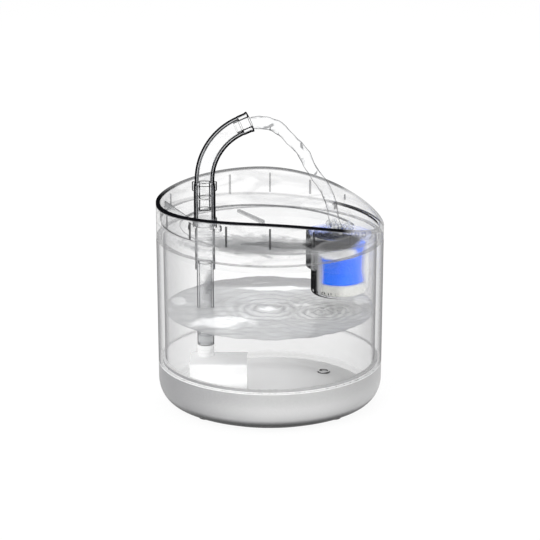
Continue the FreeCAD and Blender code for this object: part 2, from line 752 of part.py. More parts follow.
nodes = {
    "bucket_wall": bucket_wall, "bucket_pan": bucket_pan, "foot_ring": foot_ring,
    "tray_wall": tray_wall, "tray_floor": tray_floor_dish, "tray_gusset": tray_gusset,
    "down_socket": down_socket, "filter_collar": filter_collar,
    "drain_cover": drain_cover, "spout_socket": spout_socket,
    "spout_tube": spout_tube, "spout_seal": spout_seal, "spout_nozzle": spout_nozzle,
    "filter_cup": filter_cup, "blue_foam": blue_foam, "white_pad": white_pad,
    "riser_tube": riser_tube, "pump_outlet": pump_outlet, "pump_housing": pump_housing,
    "suction_feet": suction_feet, "stator_core": stator_core, "coil_bobbin": coil_bobbin,
    "stator_coil": stator_coil, "potting": potting, "back_cover": back_cover,
    "cable_gland": cable_gland, "rotor_shaft": rotor_shaft, "shaft_bushes": shaft_bushes,
    "impeller": impeller, "rotor_magnet": rotor_magnet, "pump_seal": pump_seal,
    "impeller_cover": impeller_cover, "intake_cap": intake_cap, "intake_sponge": intake_sponge,
}

for name, shape in nodes.items():
    box = shape.BoundBox
    print(f"{name:15s} solids {len(shape.Solids)} valid {shape.isValid()} "
          f"volume {shape.Volume / 1000:8.2f} cm3 "
          f"x {box.XMin:.1f} {box.XMax:.1f} y {box.YMin:.1f} {box.YMax:.1f} z {box.ZMin:.1f} {box.ZMax:.1f}")
    shape.exportStep(f"parts/{name}.step")
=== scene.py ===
import math

import bmesh
import bpy
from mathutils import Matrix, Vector, noise


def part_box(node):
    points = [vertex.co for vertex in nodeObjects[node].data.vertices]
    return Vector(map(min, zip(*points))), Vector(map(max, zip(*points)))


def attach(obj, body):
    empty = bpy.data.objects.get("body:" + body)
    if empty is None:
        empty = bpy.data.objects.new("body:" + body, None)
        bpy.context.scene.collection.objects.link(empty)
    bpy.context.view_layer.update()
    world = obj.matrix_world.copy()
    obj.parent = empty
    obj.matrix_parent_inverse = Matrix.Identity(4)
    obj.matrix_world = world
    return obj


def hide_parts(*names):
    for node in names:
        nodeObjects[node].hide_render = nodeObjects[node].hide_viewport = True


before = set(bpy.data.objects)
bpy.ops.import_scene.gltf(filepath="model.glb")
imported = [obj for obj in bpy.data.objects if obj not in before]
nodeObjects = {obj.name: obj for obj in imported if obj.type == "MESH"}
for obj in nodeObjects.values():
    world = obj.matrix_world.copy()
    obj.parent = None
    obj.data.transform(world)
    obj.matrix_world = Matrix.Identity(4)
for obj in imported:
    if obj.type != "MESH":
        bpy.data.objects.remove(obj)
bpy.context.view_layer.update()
mm = 0.001

# Heights and places that the CAD fixes, in metres
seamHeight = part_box("bucket_wall")[1].z
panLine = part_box("bucket_wall")[0].z
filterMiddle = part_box("filter_cup")[0].x / 2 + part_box("filter_cup")[1].x / 2
floorRise = 4.4 * mm
floorSlope = math.tan(math.radians(3.0))

camera = {"distance": 1.6, "elevation": 16.7, "target": (0, 0, seamHeight - 26.5 * mm), "fieldOfView": 14.12,
          "clipStart": 0.05}
lights = {
    "world": 0.92,
    "target": (0, 0, 0.1),
    "key": {"place": (-0.7, -1.1, 1.1), "size": 0.9, "watts": 16.0},
    "fill": {"place": (1.2, -0.6, 0.9), "size": 1.1, "watts": 6.0},
    "rim": {"place": (0.1, 1.1, 1.0), "size": 0.8, "watts": 7.0},
}
floorLook = {"colour": (0.93, 0.93, 0.93), "shade": (0.86, 0.86, 0.86), "shading": (0.3, 0.7, 0.0, 0.02),
             "half": 3.0, "drop": 0.2 * mm, "glow": 0.93}

# In what follows a span is (from, to, value at from, value at to), in metres where it follows a place.
# A spot is (centre, half size, strength, raggedness), with centre and half size in millimetres.

# What every clear piece shares
clearCommon = {"gloss": 0.04, "ior": 1.49, "rough": (0.3, 0.7, 0.04, 0.10), "bump": 0.15,
               "bumpDepth": 0.4 * mm, "grain": {"Scale": 700.0, "Slow": 30.0}, "veilStart": 0.10,
               "veilFull": 0.95, "streaks": 0.5, "sideHalf": 4 * mm, "lying": (0.6, 0.9, 1.0, 0.1),
               "spotFade": 0.8 * mm}
smearNoise = {"flat": (1.0, 1.0, 4.5), "smear": (0.47, 0.62, 0.0, 1.0),
             "tall": (1.0, 1.0, 0.05), "streak": (0.45, 0.75, 0.0, 1.0)}

# A clear look has tint and face for the face's colour and alpha, edge and rimAlpha for the edge's, which is a
# painted dark reflection. The edge begins at start and is whole at full, on the turn from face to edge. Veil
# is a painted grey haze of reflection towards the edge, smudge painted dark reflection streaks, farSide what
# is left of the edge right of the filter's middle, and upright keeps the edge off level faces. Spots are
# painted shade and dark reflections, glare painted highlights, and no spot shows below paintedSpotsAbove.
plainClear = {"tint": (0.55, 0.56, 0.57), "edge": (0.006, 0.006, 0.007), "face": 0.02, "rimAlpha": 1.0,
              "start": 0.36, "full": 0.70, "veil": 0.0, "reflectionStreaks": 0.0, "farSide": 1.0, "upright": True,
              "paintedSpots": (), "paintedSpotsAbove": 0.0, "glare": ()}
clearLooks = {
    "bucketClear": {"tint": (0.36, 0.36, 0.365), "edge": (0.06, 0.06, 0.065), "face": 0.012, "rimAlpha": 0.9,
                    "start": 0.70, "full": 0.95, "veil": 0.34},
    "spoutClear": {"tint": (0.75, 0.76, 0.78), "edge": (0.004, 0.004, 0.005), "face": 0.01,
                   "start": 0.28, "full": 0.48, "veil": 0.02, "reflectionStreaks": 0.10, "upright": False},
    "riserClear": {"tint": (0.60, 0.61, 0.62), "edge": (0.01, 0.01, 0.012), "face": 0.04, "rimAlpha": 0.95,
                   "start": 0.38, "full": 0.78, "veil": 0.06, "reflectionStreaks": 0.10, "upright": False,
                   "paintedSpots": (((-45, 0, 84), (6, 8, 17), 0.5, 1.4),),
                   "glare": (((-47.5, 0, 46), (9, 9, 7), 0.85, 0.1),)},
    "cupClear": {"tint": (0.93, 0.935, 0.95), "edge": (0.003, 0.003, 0.004), "face": 0.01,
                 "start": 0.24, "full": 0.48, "farSide": 0.12,
                 "glare": (((79, -8, 106), (14, 22, 30), 0.9, 0.2), ((35, -18, 102), (5, 10, 24), 0.3, 0.2))},
    "coverClear": {"tint": (0.42, 0.50, 0.92), "face": 0.05, "start": 0.35, "full": 0.90, "reflectionStreaks": 0.2,
                   "paintedSpots": (((45, -12, 128), (25, 15, 30), 0.97, 0.6), ((51, 0, 133), (5, 3, 4), 0.9, 0.4)),
                   "glare": (((43, 7, 129), (15, 12, 30), 0.5, 0.9),)},
    "socketClear": {"reflectionStreaks": 0.12},
    "gussetClear": {"face": 0.10, "reflectionStreaks": 0.2, "upright": False,
                    "paintedSpots": (((-66, 18, 143), (15, 9, 8), 0.35, 0.8),)},
    "collarClear": {"tint": (0.93, 0.935, 0.94), "edge": (0.003, 0.003, 0.004), "face": 0.01,
                    "start": 0.30, "full": 0.55, "farSide": 0.12,
                    "paintedSpots": (((46, -20, 131), (28, 22, 7), 1.0, 0.6),), "paintedSpotsAbove": seamHeight,
                    "glare": (((46, -22, 117), (19, 9, 5), 0.95, 1.1),)},
}

# The tray's two looks also have smoke, a haze of painted dark reflection streaks, rimLine for the depth of
# the rim's painted black line, and the strength of the lines on the flutes, the crease, the seam, the floor's
# ring and the floor's rib, all of them painted dark lines except the seam's joint
trayLooks = {
    "trayWallClear": {"tint": (0.36, 0.36, 0.365), "edge": (0.004, 0.004, 0.005), "face": 0.02,
                      "rimAlpha": 1.0, "start": 0.84, "full": 0.99, "veil": 0.26, "reflectionHaze": 0.12,
                      "rimLine": 2.2 * mm, "flute": 0.9, "crease": 0.25, "seam": 0.35, "ring": 0.0,
                      "rib": 0.0,
                      "paintedSpots": (((50, -64, 136.5), (24, 30, 5), 0.7, 0.9),)},
    "trayFloorClear": {"tint": (0.45, 0.46, 0.47), "edge": (0.004, 0.004, 0.005), "face": 0.025,
                       "rimAlpha": 1.0, "start": 0.90, "full": 1.0, "veil": 0.0, "reflectionHaze": 0.04,
                       "rimLine": 0.0, "flute": 0.0, "crease": 0.0, "seam": 0.0, "ring": 0.75,
                       "rib": 0.5,
                       "paintedSpots": (((-4, -40, 131), (66, 36, 7), 0.62, 1.3),
                                 ((20, -40, 130), (56, 15, 6), 0.80, 0.8),
                                 ((42, -34, 130), (31, 27, 8), 1.0, 0.5),
                                 ((-30, -30, 131), (18, 9, 7), 0.45, 1.2))},
}
trayLines = {
    "ringRadius": 65.6 * mm, "ring": (0.35 * mm, 0.8 * mm, 1.0, 0.0), "ringSlack": 0.2 * mm,
    "ringBack": (-10 * mm, 30 * mm, 0.45, 1.0), "floorReach": 62 * mm, "ribLow": 0.3 * mm,
    "fluteRadius": 79.5 * mm, "flute": (0.4 * mm, 0.65 * mm, 1.0, 0.0), "fluteLow": 12 * mm,
    "fluteBack": (0.0, 30 * mm, 1.0, 0.6),
    "rimBack": (10 * mm, 50 * mm, 1.0, 0.65), "rimRight": (50 * mm, 62 * mm, 1.0, 0.3),
    "creaseRise": 5.6 * mm, "creaseWidth": 1.0 * mm, "creaseMost": 0.95,
    "creaseRight": (35 * mm, 60 * mm, 0.0, 1.0), "creaseBack": (0.0, 20 * mm, 0.0, 1.0),
    "seamRise": 0.2 * mm, "seamWidth": 0.5 * mm,
}

# The rim seen from the side is two arcs that meet at its peak, with these radii left and right of it
rimCurve = {"peakX": -12 * mm, "peak": seamHeight + 31.3 * mm, "left": 490 * mm, "right": 215 * mm}

# The frosted pan's colours are painted light and shade: dark, light and lightLow for its shaded and lit skin,
# inside and the floor colours for its lit inner faces, line for a painted highlight along its top edge, and
# the black near the ground for a painted shadow
pan = {
    "dark": (0.20, 0.20, 0.205), "light": (0.38, 0.38, 0.38), "lightLow": (0.52, 0.52, 0.52),
    "inside": (0.90, 0.90, 0.90), "floorLit": (0.80, 0.80, 0.80), "floorShaded": (0.46, 0.46, 0.46),
    "line": (0.97, 0.97, 0.97), "foot": (0.02, 0.02, 0.02), "speck": (0.9, 0.9, 0.9),
    "alpha": 0.95, "insideAlpha": 0.30, "backCut": 0.8, "highlightWidth": 0.5 * mm, "gloss": 0.2,
    "heightLit": (3 * mm, 20 * mm, 0.35, 1.0), "leftLit": (-82 * mm, 5 * mm, 0.0, 1.0),
    "rightLit": (30 * mm, 82 * mm, 1.0, 0.62), "lowLit": (10 * mm, 28 * mm, 1.0, 0.0),
    "upward": (0.5, 0.95, 0.0, 1.0), "inward": (-40 * mm, -5 * mm, 1.0, 0.0),
    "ground": (-20 * mm, 60 * mm, 0.0, 1.0), "footDark": (5.5 * mm, 10.5 * mm, 1.0, 0.0),
    "speckle": (0.35, 0.75, 0.0, 0.08), "rough": (0.3, 0.7, 0.34, 0.55), "bump": 0.25, "bumpDepth": 0.08 * mm,
}

# Soft pieces: cell is the size of a pore, depth how deep the pores cut the surface, round the edge's radius
foam = {"colour": (0.0, 0.17, 1.0), "deep": (0.0, 0.09, 0.85), "cell": 1.6 * mm, "rough": 0.85, "glow": 0.28,
        "depth": 0.35 * mm, "round": 2.0 * mm, "sag": 0.5 * mm}
pad = {"colour": (0.86, 0.86, 0.82), "deep": (0.66, 0.66, 0.62), "cell": 0.9 * mm, "rough": 0.95, "glow": 0.0,
       "depth": 0.3 * mm, "round": 1.6 * mm, "sag": 0.0}
sponge = {"colour": (0.05, 0.05, 0.055), "deep": (0.01, 0.01, 0.01), "cell": 1.1 * mm, "rough": 0.9,
          "glow": 0.0, "depth": 0.15 * mm, "round": 0.6 * mm, "dent": 1.2 * mm, "corner": 0.35}
porous = {"wall": (0.1, 0.75, 0.0, 1.0), "patch": (0.35, 0.65, 0.0, 0.35), "poreShade": (0.0, 0.5, 0.45, 0.0),
          "bump": 0.45, "bumpDepth": 0.25 * mm}
discSteps = {"edge": 8, "face": 14, "around": 120, "levelHeight": 1.1 * mm, "leastLevels": 4, "bias": 0.25,
             "topDent": 0.8}
sheetSteps = {"edge": 6, "around": 96, "bias": 0.2}

# The pool's colours are painted reflections: a dark band at the back, pale patches of painted highlight, and
# rings of waves in painted light and shade, (centre in millimetres, wave length, reach). Swells shape the
# sheet:
# (x, y, height, wave length), and so do the uneven rows: (height, length along x, length along y, layer of
# the noise)
water = {
    "level": 69.6 * mm, "radius": 77.2 * mm, "rings": 110, "spokes": 220, "ripple": 0.7 * mm, "alpha": 0.88,
    "colour": (0.41, 0.415, 0.42), "shade": (0.58, 0.585, 0.59), "back": (0.24, 0.24, 0.245),
    "trough": (0.26, 0.26, 0.265), "crest": (0.74, 0.745, 0.75), "bright": (0.93, 0.935, 0.94),
    "bump": 0.3, "bumpDepth": 0.6 * mm,
    "shading": (0.35, 0.65, 0.0, 0.35), "backBand": (44 * mm, 56 * mm, 0.0, 0.95), "waveShare": 0.45,
    "paleHighlight": (((2, 46, 70), (34, 6, 30), 0.95, 0.7), ((-1, -6, 70), (8, 6, 30), 1.0, 0.5),
             ((-36, -36, 70), (25, 19, 30), 0.95, 1.3), ((-68, 14, 70), (7, 12, 30), 0.6, 0.9),
             ((24, 4, 70), (9, 3, 30), 0.5, 0.6), ((68, 16, 70), (8, 14, 30), 0.6, 0.9)),
    "waves": (((38, -14, 70), 5.5 * mm, 34 * mm), ((-1, -6, 70), 8.0 * mm, 40 * mm)),
    "swells": ((0.0, 0.0, 1.0, 9.0 * mm), (48 * mm, -8 * mm, 1.1, 6.5 * mm),
               (-30 * mm, -35 * mm, 0.5, 11.0 * mm)),
    "swellFade": 26 * mm,
    "uneven": ((1.1, 16 * mm, 22 * mm, 2.0), (0.5, 7 * mm, 9 * mm, 5.0)),
}
film = {"radius": 64.5 * mm, "rings": 60, "spokes": 140, "ripple": 0.25 * mm, "lift": 0.7 * mm,
        "uneven": (0.6, 9 * mm, 14 * mm, 1.0), "landing": 50 * mm, "wave": 7 * mm, "fade": 18 * mm}
stream = {
    # centre line in x and z, with the stream's radius, from the nozzle to the cover, in millimetres
    "line": [(-14, 208.7, 4.2), (-9.5, 208.7, 5.0), (1, 207.2, 5.0), (8.3, 203.1, 4.8), (16.2, 195.2, 4.4),
             (23.4, 186.6, 4.6), (30.6, 173.8, 4.4), (37.8, 163.3, 4.4), (42.8, 152.8, 4.4),
             (45.4, 145.0, 4.2), (46.8, 136.5, 4.0), (48.5, 129.8, 4.6)],
    "around": 28, "along": 150, "lump": 0.55 * mm, "lumpSize": 1.4, "lumpTurn": 0.5, "twist": 2.2,
    "core": 0.92, "lobe": 0.06, "lobes": 3, "lobeTurn": 2, "flat": 0.8,
}
drops = {"count": 80, "spread": 11 * mm, "seed": 7, "small": 0.5 * mm, "large": 1.7 * mm, "low": 1 * mm,
         "high": 8 * mm, "x": 50 * mm}
# Water's painted look: bright swirls are painted highlights, the edge and the lumps painted dark reflections
plainWater = {"rough": 0.03, "bump": 0.4, "bumpDepth": 0.5 * mm,
              "paintedDarkLumps": 0.0, "gloss": 0.25, "start": 0.30, "full": 0.85,
              "bright": (0.86, 0.87, 0.88), "edge": (0.05, 0.05, 0.055), "paleHighlight": (0.42, 0.66, 0.0, 1.0),
              "lump": (0.62, 0.68, 0.0, 1.0)}
waterLooks = {
    "filmWater": {"colour": (0.55, 0.56, 0.57), "alpha": 0.015, "edgeAlpha": 0.03, "gloss": 0.04},
    "streamWater": {"colour": (0.55, 0.57, 0.60), "alpha": 0.06, "edgeAlpha": 0.65, "paintedDarkLumps": 1.0,
                    "start": 0.15, "full": 0.70},
    "dropWater": {"colour": (0.55, 0.58, 0.62), "alpha": 0.30, "edgeAlpha": 0.9},
}

# Opaque pieces: colour, second colour, lowest and highest roughness
solidLooks = {
    "pumpWhite": {"tones": ((0.95, 0.95, 0.95), (0.90, 0.90, 0.90)), "rough": (0.32, 0.5)},
    "footRubber": {"tones": ((0.012, 0.012, 0.013), (0.03, 0.03, 0.03)), "rough": (0.55, 0.8)},
    "suctionRubber": {"tones": ((0.62, 0.62, 0.62), (0.5, 0.5, 0.5)), "rough": (0.4, 0.6)},
    "glandRubber": {"tones": ((0.6, 0.6, 0.6), (0.5, 0.5, 0.5)), "rough": (0.4, 0.6)},
    "bushRubber": {"tones": ((0.03, 0.03, 0.03), (0.05, 0.05, 0.05)), "rough": (0.5, 0.7)},
    "sealSilicone": {"tones": ((0.80, 0.80, 0.80), (0.70, 0.70, 0.70)), "rough": (0.3, 0.5)},
    "ringSilicone": {"tones": ((0.75, 0.75, 0.75), (0.65, 0.65, 0.65)), "rough": (0.3, 0.5)},
    "coreSteel": {"tones": ((0.42, 0.43, 0.45), (0.30, 0.31, 0.33)), "rough": (0.3, 0.45), "metallic": 0.9,
                  "bands": {"scale": 600.0, "axis": "Z", "colour": (0.16, 0.16, 0.17)}},
    "coilCopper": {"tones": ((0.62, 0.24, 0.08), (0.50, 0.18, 0.05)), "rough": (0.25, 0.4), "metallic": 0.8,
                   "bump": 0.6, "bands": {"scale": 900.0, "axis": "Y", "colour": (0.22, 0.07, 0.02)}},
    "pottingEpoxy": {"tones": ((0.03, 0.03, 0.032), (0.05, 0.05, 0.05)), "rough": (0.2, 0.35)},
    "shaftCeramic": {"tones": ((0.80, 0.78, 0.74), (0.72, 0.70, 0.66)), "rough": (0.2, 0.3)},
    "magnetFerrite": {"tones": ((0.07, 0.07, 0.075), (0.11, 0.11, 0.11)), "rough": (0.4, 0.6)},
}
solidCommon = {"metallic": 0.0, "bump": 0.2, "bumpDepth": 0.12 * mm, "shade": (0.3, 0.7, 0.0, 1.0),
               "roughFrom": 0.25, "roughTo": 0.75, "bands": None, "bandShare": 0.55}

# Every node that isn't named here is the pump's white plastic
nodeLooks = {
    "bucket_wall": "bucketClear", "bucket_pan": "panFrosted", "foot_ring": "footRubber",
    "tray_wall": "trayWallClear", "tray_floor": "trayFloorClear", "tray_gusset": "gussetClear",
    "down_socket": "socketClear", "filter_collar": "collarClear", "drain_cover": "coverClear",
    "spout_tube": "spoutClear", "spout_socket": "spoutClear", "spout_nozzle": "spoutClear",
    "spout_seal": "sealSilicone", "filter_cup": "cupClear", "riser_tube": "riserClear",
    "suction_feet": "suctionRubber", "cable_gland": "glandRubber", "shaft_bushes": "bushRubber",
    "pump_seal": "ringSilicone", "stator_core": "coreSteel", "stator_coil": "coilCopper",
    "potting": "pottingEpoxy", "rotor_shaft": "shaftCeramic", "rotor_magnet": "magnetFerrite",
}


# A socket given as a value is linked, anything else is set
def give(tree, value, socket):
    if isinstance(value, bpy.types.NodeSocket):
        tree.links.new(value, socket)
    else:
        socket.default_value = value


def put(tree, kind, inputs=None, **settings):
    node = tree.nodes.new(kind)
    for key, value in settings.items():
        setattr(node, key, value)
    for key, value in (inputs or {}).items():
        give(tree, value, node.inputs[key])
    return node


def calc(tree, operation, *values, clamp=False):
    inputs = dict(enumerate(values))
    return put(tree, "ShaderNodeMath", inputs, operation=operation, use_clamp=clamp).outputs[0]


def times(tree, first, second):
    return calc(tree, "MULTIPLY", first, second)


def plus(tree, first, second):
    return calc(tree, "ADD", first, second)


def minus(tree, first, second):
    return calc(tree, "SUBTRACT", first, second)


def mapped(tree, value, low, high, newLow, newHigh):
    inputs = {"Value": value, "From Min": low, "From Max": high, "To Min": newLow, "To Max": newHigh}
    return put(tree, "ShaderNodeMapRange", inputs, interpolation_type="SMOOTHSTEP").outputs[0]


def blended(tree, factor, first, second):
    return put(tree, "ShaderNodeMix", {0: factor, 6: first, 7: second}, data_type="RGBA").outputs[2]


def axesOf(tree, vector):
    return put(tree, "ShaderNodeSeparateXYZ", {0: vector}).outputs


def opaque(colour):
    return (*colour, 1.0)


def inMetres(place):
    return tuple(c * mm for c in place)


def makeGroup(name, inputs, outputs, fill):
    group = bpy.data.node_groups.new(name, "ShaderNodeTree")
    for label, value in inputs.items():
        kind = "NodeSocketVector" if isinstance(value, tuple) else "NodeSocketFloat"
        group.interface.new_socket(label, in_out="INPUT", socket_type=kind).default_value = value
    for label in outputs:
        group.interface.new_socket(label, in_out="OUTPUT", socket_type="NodeSocketFloat")
    results = fill(group, group.nodes.new("NodeGroupInput").outputs)
    last = group.nodes.new("NodeGroupOutput")
    for label, value in zip(outputs, results):
        group.links.new(value, last.inputs[label])
    return group


def useGroup(tree, group, inputs):
    node = tree.nodes.new("ShaderNodeGroup")
    node.node_tree = group
    for label, value in inputs.items():
        give(tree, value, node.inputs[label])
    return node.outputs


# Fine moulding grain and slow shade changes
def grainFill(tree, given):
    fine = put(tree, "ShaderNodeTexNoise", {"Vector": given["Place"], "Scale": given["Scale"], "Detail": 4.0,
                                            "Roughness": 0.6})
    slow = put(tree, "ShaderNodeTexNoise", {"Vector": given["Place"], "Scale": given["Slow"], "Detail": 2.0})
    return fine.outputs["Fac"], slow.outputs["Fac"]


# Noise drawn out around the wall, for painted dark reflection streaks, and fine upright streaks
def smearFill(tree, given):
    flat = put(tree, "ShaderNodeMapping", {"Vector": given["Place"], "Scale": smearNoise["flat"]})
    smear = put(tree, "ShaderNodeTexNoise", {"Vector": flat.outputs[0], "Scale": 15.0, "Detail": 2.5,
                                            "Distortion": 2.2})
    tall = put(tree, "ShaderNodeMapping", {"Vector": given["Place"], "Scale": smearNoise["tall"]})
    streak = put(tree, "ShaderNodeTexNoise", {"Vector": tall.outputs[0], "Scale": 60.0, "Detail": 2.0})
    return (mapped(tree, smear.outputs["Fac"], *smearNoise["smear"]),
            mapped(tree, streak.outputs["Fac"], *smearNoise["streak"]))


# 1 on a thin line at the given height, which falls along X by the slope
def levelFill(tree, given):
    axes = axesOf(tree, given["Place"])
    level = plus(tree, axes["Z"], times(tree, axes["X"], given["Slope"]))
    away = calc(tree, "ABSOLUTE", minus(tree, level, given["Height"]))
    return (mapped(tree, away, times(tree, given["Width"], given["Core"]), given["Width"], 1.0, 0.0),)


# 1 within a given depth of the tray's curved rim
def rimFill(tree, given):
    axes = axesOf(tree, given["Place"])
    offset = minus(tree, axes["X"], rimCurve["peakX"])
    leftSide = calc(tree, "LESS_THAN", offset, 0.0)
    radius = plus(tree, rimCurve["right"], times(tree, leftSide, rimCurve["left"] - rimCurve["right"]))
    root = calc(tree, "SQRT", minus(tree, times(tree, radius, radius), times(tree, offset, offset)))
    height = plus(tree, minus(tree, root, radius), rimCurve["peak"])
    below = minus(tree, height, axes["Z"])
    return (mapped(tree, below, times(tree, given["Depth"], given["Core"]), given["Depth"], 1.0, 0.0),)


# 1 on the step round the tray floor, on the flutes inside the wall, and on what stands on the floor
def reachFill(tree, given):
    axes = axesOf(tree, given["Place"])
    square = plus(tree, times(tree, axes["X"], axes["X"]), times(tree, axes["Y"], axes["Y"]))
    reach = calc(tree, "SQRT", square)
    fromRing = calc(tree, "ABSOLUTE", minus(tree, reach, trayLines["ringRadius"]))
    fromFlute = calc(tree, "ABSOLUTE", minus(tree, reach, trayLines["fluteRadius"]))
    level = plus(tree, axes["Z"], times(tree, axes["X"], floorSlope))
    high = calc(tree, "GREATER_THAN", level, seamHeight + floorRise - trayLines["ringSlack"])
    wall = calc(tree, "GREATER_THAN", axes["Z"], seamHeight + trayLines["fluteLow"])
    wall = times(tree, wall, mapped(tree, axes["Y"], *trayLines["fluteBack"]))
    over = calc(tree, "GREATER_THAN", level, seamHeight + floorRise + trayLines["ribLow"])
    inside = calc(tree, "LESS_THAN", reach, trayLines["floorReach"])
    return (times(tree, mapped(tree, fromRing, *trayLines["ring"]), high),
            times(tree, mapped(tree, fromFlute, *trayLines["flute"]), wall), times(tree, over, inside))


# How far a place is from a centre, straight or in shares of a half size
def distance(tree, given, inShares):
    away = put(tree, "ShaderNodeVectorMath", {0: given["Place"], 1: given["Centre"]}, operation="SUBTRACT")
    if inShares:
        away = put(tree, "ShaderNodeVectorMath", {0: away.outputs[0], 1: given["Size"]}, operation="DIVIDE")
    return put(tree, "ShaderNodeVectorMath", {0: away.outputs[0]}, operation="LENGTH").outputs["Value"]


# 1 inside an oval with a ragged, soft edge
def spotFill(tree, given):
    ragged = put(tree, "ShaderNodeTexNoise", {"Vector": given["Place"], "Scale": given["Scale"],
                                              "Detail": 3.0, "Distortion": 1.2})
    shift = times(tree, minus(tree, ragged.outputs["Fac"], 0.5), given["Ragged"])
    return (mapped(tree, plus(tree, distance(tree, given, True), shift), given["Soft"], 1.0, 1.0, 0.0),)


# Rings of waves, 0 to 1, and how they die away from their centre
def waveFill(tree, given):
    reach = distance(tree, given, False)
    stray = put(tree, "ShaderNodeTexNoise", {"Vector": given["Place"], "Scale": 60.0, "Detail": 1.0})
    turn = plus(tree, times(tree, calc(tree, "DIVIDE", reach, given["Wave"]), 2 * math.pi),
                times(tree, stray.outputs["Fac"], given["Stray"]))
    height = plus(tree, times(tree, calc(tree, "SINE", turn), 0.5), 0.5)
    return height, mapped(tree, reach, times(tree, given["Fade"], given["Core"]), given["Fade"], 1.0, 0.0)


origin = (0.0, 0.0, 0.0)
grainGroup = makeGroup("mouldGrain", {"Place": origin, "Scale": 900.0, "Slow": 25.0}, ("Grain", "Shade"),
                       grainFill)
smearGroup = makeGroup("smearNoise", {"Place": origin}, ("Smear", "Streak"), smearFill)
levelGroup = makeGroup("levelLine", {"Place": origin, "Height": 0.1, "Width": 0.5 * mm, "Core": 0.4,
                                     "Slope": 0.0}, ("Line",), levelFill)
reachGroup = makeGroup("reachLines", {"Place": origin}, ("Ring", "Flute", "Rib"), reachFill)
spotGroup = makeGroup("raggedSpot", {"Place": origin, "Centre": origin, "Size": (1.0, 1.0, 1.0),
                                     "Scale": 45.0, "Ragged": 0.5, "Soft": 0.55}, ("Mask",), spotFill)
waveGroup = makeGroup("ringWaves", {"Place": origin, "Centre": origin, "Wave": 6 * mm, "Fade": 30 * mm,
                                    "Core": 0.3, "Stray": 6.0}, ("Height", "Fall"), waveFill)
rimGroup = makeGroup("rimLine", {"Place": origin, "Depth": 1 * mm, "Core": 0.45}, ("Line",), rimFill)


def newMaterial(name):
    material = bpy.data.materials.new(name)
    material.use_nodes = True
    tree = material.node_tree
    tree.nodes.clear()
    place = put(tree, "ShaderNodeTexCoord").outputs["Object"]
    shader = put(tree, "ShaderNodeBsdfPrincipled")
    out = put(tree, "ShaderNodeOutputMaterial", {"Surface": shader.outputs[0]})
    return material, tree, place, shader, out


def feed(tree, shader, **inputs):
    for label, value in inputs.items():
        give(tree, value, shader.inputs[label.replace("_", " ")])


def bumped(tree, height, strength, depth):
    inputs = {"Height": height, "Strength": strength, "Distance": depth}
    return put(tree, "ShaderNodeBump", inputs).outputs[0]


def edgeMask(tree, start, full):
    facing = put(tree, "ShaderNodeLayerWeight", {"Blend": 0.5}).outputs["Facing"]
    return mapped(tree, facing, start, full, 0.0, 1.0)


# The strongest of a look's spots of painted light and shade at each place
def spotMask(tree, place, paintedSpots, scale=45.0):
    total = plus(tree, 0.0, 0.0)
    for centre, size, strength, ragged in paintedSpots:
        inputs = {"Place": place, "Centre": inMetres(centre), "Size": inMetres(size), "Ragged": ragged,
                  "Scale": scale}
        total = calc(tree, "MAXIMUM", total, times(tree, useGroup(tree, spotGroup, inputs)["Mask"], strength))
    return total


# The darker of what is there and a line at its strength
def withLine(tree, dark, line, strength):
    return calc(tree, "MAXIMUM", dark, times(tree, line, strength))


# Darkness is painted shade and dark reflection; it sets colour, alpha and gloss together: a black edge has no
# gloss to wash it out
def feedClear(tree, shader, look, dark, haze, grain):
    if look["veil"]:
        veil = edgeMask(tree, clearCommon["veilStart"], clearCommon["veilFull"])
        haze = plus(tree, haze, times(tree, veil, look["veil"]))
    alpha = plus(tree, times(tree, dark, look["rimAlpha"] - look["face"]), look["face"])
    alpha = calc(tree, "ADD", alpha, haze, clamp=True)
    gloss = times(tree, calc(tree, "SUBTRACT", 1.0, dark, clamp=True), clearCommon["gloss"])
    colour = blended(tree, dark, opaque(look["tint"]), opaque(look["edge"]))
    feed(tree, shader, Base_Color=colour, Alpha=alpha, IOR=clearCommon["ior"], Specular_IOR_Level=gloss,
         Roughness=mapped(tree, grain["Shade"], *clearCommon["rough"]),
         Normal=bumped(tree, grain["Shade"], clearCommon["bump"], clearCommon["bumpDepth"]))


# 1 above a height, with a short fade
def above(tree, axes, height):
    return mapped(tree, axes["Z"], height, height + clearCommon["spotFade"], 0.0, 1.0)


def clearMaterial(name, look):
    material, tree, place, shader, _ = newMaterial(name)
    marks = useGroup(tree, smearGroup, {"Place": place})
    grain = useGroup(tree, grainGroup, {"Place": place, **clearCommon["grain"]})
    axes = axesOf(tree, place)
    half = clearCommon["sideHalf"]
    side = mapped(tree, axes["X"], filterMiddle - half, filterMiddle + half, 1.0, look["farSide"])
    # Painted dark reflection at the edges, weaker right of the filter's middle
    dark = times(tree, edgeMask(tree, look["start"], look["full"]), side)
    if look["upright"]:
        lying = axesOf(tree, put(tree, "ShaderNodeTexCoord").outputs["Normal"])["Z"]
        dark = times(tree, dark, mapped(tree, calc(tree, "ABSOLUTE", lying), *clearCommon["lying"]))
    # Spots of painted shade and dark reflection
    paintedSpots = spotMask(tree, place, look["paintedSpots"])
    if look["paintedSpotsAbove"]:
        paintedSpots = times(tree, paintedSpots, above(tree, axes, look["paintedSpotsAbove"]))
    dark = calc(tree, "MAXIMUM", dark, paintedSpots)
    # A haze of fine streaks and of painted dark reflection streaks
    haze = plus(tree, times(tree, marks["Streak"], look["face"] * clearCommon["streaks"]),
                times(tree, marks["Smear"], look["reflectionStreaks"]))
    # Glare adds pale haze, painted highlights
    if look["glare"]:
        haze = plus(tree, haze, spotMask(tree, place, look["glare"]))
    feedClear(tree, shader, look, dark, haze, grain)
    return material


